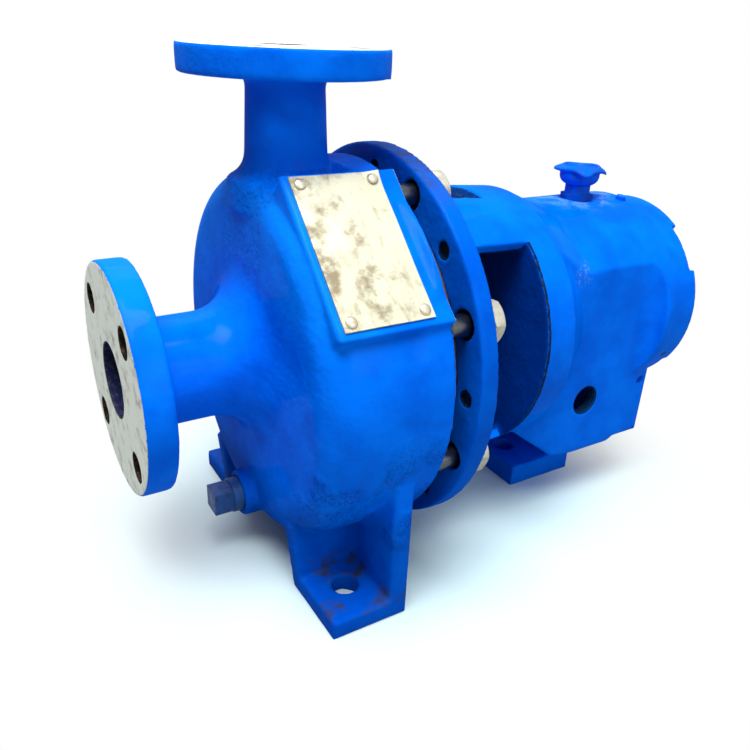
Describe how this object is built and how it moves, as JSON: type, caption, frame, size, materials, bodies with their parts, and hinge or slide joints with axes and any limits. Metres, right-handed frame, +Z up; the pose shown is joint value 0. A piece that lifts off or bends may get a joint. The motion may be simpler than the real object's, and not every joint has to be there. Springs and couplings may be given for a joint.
{
  "type": "centrifugal pump",
  "caption": "End-suction centrifugal process pump: volute casing with flanged nozzles and feet, windowed bearing frame, sealed shaft and adjustable bearing carrier.",
  "frame": {"origin": "on the mounting plane, midway between the two bolt holes of the casing feet, under the crossing of the discharge axis and the shaft axis", "axes": "+X along the shaft from the suction flange to the coupling end, +Z up along the discharge, near side (nameplate, oiler port) at -Y"},
  "size_m": [0.4445, 0.2306, 0.2984],
  "materials": {
    "blue_paint": "gloss enamel over rough casting, chipped",
    "bare_iron": "machined and stained",
    "stainless": "machined",
    "zinc_steel": "dull zinc with stains",
    "shaft_steel": "ground",
    "bearing_steel": "ground and polished",
    "plate_metal": "stained satin plate",
    "gasket_fibre": "pressed fibre",
    "carbon": "lapped carbon",
    "ceramic": "lapped ceramic",
    "black_rubber": "matt",
    "bezel_metal": "turned",
    "lens_glass": "clear"
  },
  "bodies": {
    "pump_frame": {"casing": "blue_paint", "casing_drain_plug": "zinc_steel", "nameplate": "plate_metal", "nameplate_rivets": "plate_metal", "casing_gasket": "gasket_fibre", "rear_cover": "bare_iron", "gland_gasket": "gasket_fibre", "seal_gland": "stainless", "gland_studs": "zinc_steel", "gland_nuts": "zinc_steel", "seal_stationary_face": "ceramic", "bearing_frame": "blue_paint", "inboard_oil_seal": "black_rubber", "casing_bolts": "zinc_steel", "carrier_lock_screws": "zinc_steel", "sump_drain_plug": "zinc_steel", "filler_bushing": "blue_paint", "sight_glass_bezel": "bezel_metal", "sight_glass_lens": "lens_glass"},
    "shift_ring": {"inboard_bearing_outer_ring": "bearing_steel"},
    "rotor": {"shaft": "shaft_steel", "shaft_sleeve": "stainless", "impeller": "stainless", "impeller_gasket": "gasket_fibre", "seal_drive_collar": "stainless", "seal_rotating_face": "carbon", "deflector": "black_rubber", "inboard_bearing_inner_ring": "bearing_steel", "thrust_bearing_inner_ring": "bearing_steel", "bearing_lock_washer": "shaft_steel", "bearing_lock_nut": "shaft_steel"},
    "inboard_cage": {"inboard_balls_and_cage": "bearing_steel"},
    "carrier": {"bearing_carrier": "blue_paint", "carrier_o_ring": "black_rubber", "thrust_bearing_outer_ring": "bearing_steel", "bearing_retaining_ring": "shaft_steel", "outboard_oil_seal": "black_rubber"},
    "thrust_cage": {"thrust_balls_and_cages": "bearing_steel"},
    "cap": {"filler_cap": "blue_paint"}
  },
  "joints": [
    {"name": "rotor_shift", "type": "slide", "parent": "pump_frame", "child": "shift_ring", "axis": [1, 0, 0], "range_m": [-0.000265, 0.000265]},
    {"name": "shaft_spin", "type": "hinge", "parent": "shift_ring", "child": "rotor", "pos_m": [0.2, 0, 0.13335], "axis": [1, 0, 0], "continuous": true},
    {"name": "inboard_cage_orbit", "type": "hinge", "parent": "shift_ring", "child": "inboard_cage", "pos_m": [0.1445, 0, 0.13335], "axis": [1, 0, 0], "continuous": true},
    {"name": "carrier_turn", "type": "hinge", "parent": "shift_ring", "child": "carrier", "pos_m": [0.26, 0, 0.13335], "axis": [1, 0, 0], "range_deg": [-60, 60]},
    {"name": "thrust_cage_orbit", "type": "hinge", "parent": "shift_ring", "child": "thrust_cage", "pos_m": [0.241, 0, 0.13335], "axis": [1, 0, 0], "continuous": true},
    {"name": "cap_lift", "type": "slide", "parent": "pump_frame", "child": "cap", "axis": [0, 0, 1], "range_m": [0, 0.03]}
  ],
  "couplings": [
    {"joint": "rotor_shift", "follows": "carrier_turn", "m_per_rad": 0.00025266},
    {"joint": "inboard_cage_orbit", "follows": "shaft_spin", "ratio": 0.397},
    {"joint": "thrust_cage_orbit", "follows": "shaft_spin", "ratio": 0.407}
  ]
}
